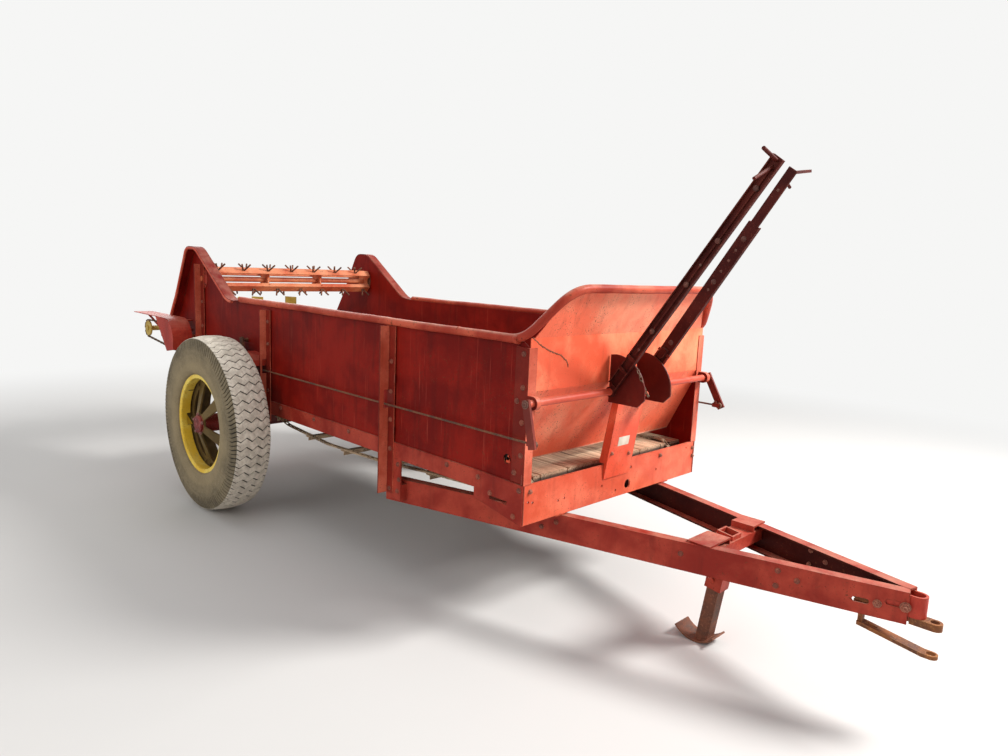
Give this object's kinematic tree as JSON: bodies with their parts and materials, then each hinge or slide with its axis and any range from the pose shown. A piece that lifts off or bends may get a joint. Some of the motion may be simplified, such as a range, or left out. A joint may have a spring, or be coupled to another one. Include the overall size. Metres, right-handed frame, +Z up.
{
  "type": "manure spreader",
  "caption": "Ground-driven box spreader on two wheels with toothed beaters, a paddle distributor, a chain apron, control levers, an A-frame drawbar and a parking stand",
  "frame": {"origin": "On the ground, under the middle of the whole machine's bounding box, as it stands on its wheels and stand", "axes": "+X forward to the hitch, +Y to the machine's left, +Z up"},
  "size_m": [4.66, 1.72, 1.7575],
  "materials": {
    "red_paint": "faded red-orange enamel, rusted at the edges",
    "dark_red": "faded dark red enamel",
    "wheel_yellow": "faded yellow enamel",
    "tyre": "worn and dusty",
    "rust": "bare and rusted",
    "lever_brown": "dark red-brown, rusted",
    "planks": "weathered boards"
  },
  "bodies": {
    "chassis": {"drawbar_rail_right": "red_paint", "drawbar_rail_left": "red_paint", "hitch_jaws": "rust", "stand_bracket": "red_paint", "front_sill": "red_paint", "frame_crossers": "dark_red", "base_angle_right": "red_paint", "base_angle_left": "red_paint", "side_right": "red_paint", "side_left": "red_paint", "posts_right": "red_paint", "posts_left": "red_paint", "bar_hanger_right": "red_paint", "bar_hanger_left": "red_paint", "top_rail": "red_paint", "front_board": "red_paint", "lever_post": "red_paint", "lever_quadrants": "dark_red", "floor_boards": "planks", "apron_chain": "rust", "apron_front_shaft": "rust", "apron_rear_shaft": "rust", "axle_beam": "red_paint", "axle_mounts": "dark_red", "distributor_arms": "red_paint", "drive_guard": "red_paint", "drive_chain": "rust", "ratchet_guard": "red_paint", "axle_chain": "rust", "beater_chain": "rust", "beater_bearings": "rust"},
    "stand": {"stand_leg": "red_paint"},
    "wheel_right": {"wheel_right": "wheel_yellow", "tyre_right": "tyre"},
    "wheel_left": {"wheel_left": "wheel_yellow", "tyre_left": "tyre"},
    "lever_right": {"lever_right": "lever_brown"},
    "lever_left": {"lever_left": "lever_brown"},
    "rod_right": {"rod_right": "rust"},
    "rod_left": {"rod_left": "rust"},
    "arm_right": {"arm_right": "rust"},
    "arm_left": {"arm_left": "rust"},
    "upper_beater": {"upper_beater": "red_paint"},
    "main_beater": {"main_beater": "red_paint"},
    "distributor": {"distributor": "wheel_yellow"}
  },
  "joints": [
    {"name": "wheel_right_spin", "type": "hinge", "parent": "chassis", "child": "wheel_right", "pos_m": [-0.967, -0.76, 0.465], "axis": [0, 1, 0], "continuous": true},
    {"name": "wheel_left_spin", "type": "hinge", "parent": "chassis", "child": "wheel_left", "pos_m": [-0.967, 0.76, 0.465], "axis": [0, 1, 0], "continuous": true},
    {"name": "upper_beater_spin", "type": "hinge", "parent": "chassis", "child": "upper_beater", "pos_m": [-1.52, 0, 1.205], "axis": [0, 1, 0], "continuous": true},
    {"name": "main_beater_spin", "type": "hinge", "parent": "chassis", "child": "main_beater", "pos_m": [-1.67, 0, 0.845], "axis": [0, 1, 0], "continuous": true},
    {"name": "distributor_spin", "type": "hinge", "parent": "chassis", "child": "distributor", "pos_m": [-2.13, 0, 0.86], "axis": [0, 1, 0], "continuous": true},
    {"name": "lever_right_swing", "type": "hinge", "parent": "chassis", "child": "lever_right", "pos_m": [1.156, -0.3, 0.9], "axis": [0, 1, 0], "range_deg": [-17, 25]},
    {"name": "lever_left_swing", "type": "hinge", "parent": "chassis", "child": "lever_left", "pos_m": [1.156, 0.3, 0.9], "axis": [0, 1, 0], "range_deg": [-17, 25]},
    {"name": "rod_right_pin", "type": "hinge", "parent": "lever_right", "child": "rod_right", "pos_m": [1.18987, -0.592, 0.76416], "axis": [0, 1, 0], "range_deg": [-25, 17]},
    {"name": "rod_left_pin", "type": "hinge", "parent": "lever_left", "child": "rod_left", "pos_m": [1.226, 0.592, 0.77876], "axis": [0, 1, 0], "range_deg": [-25, 17]},
    {"name": "arm_right_swing", "type": "hinge", "parent": "chassis", "child": "arm_right", "pos_m": [-0.964, -0.59, 0.9], "axis": [0, 1, 0], "range_deg": [-17, 25]},
    {"name": "arm_left_swing", "type": "hinge", "parent": "chassis", "child": "arm_left", "pos_m": [-0.964, 0.59, 0.9], "axis": [0, 1, 0], "range_deg": [-17, 25]},
    {"name": "stand_slide", "type": "slide", "parent": "chassis", "child": "stand", "axis": [0.1392, 0, 0.9903], "range_m": [0, 0.17]}
  ],
  "couplings": [
    {"joint": "rod_right_pin", "follows": "lever_right_swing", "ratio": -1},
    {"joint": "arm_right_swing", "follows": "lever_right_swing", "ratio": 1},
    {"joint": "rod_left_pin", "follows": "lever_left_swing", "ratio": -1},
    {"joint": "arm_left_swing", "follows": "lever_left_swing", "ratio": 1}
  ]
}
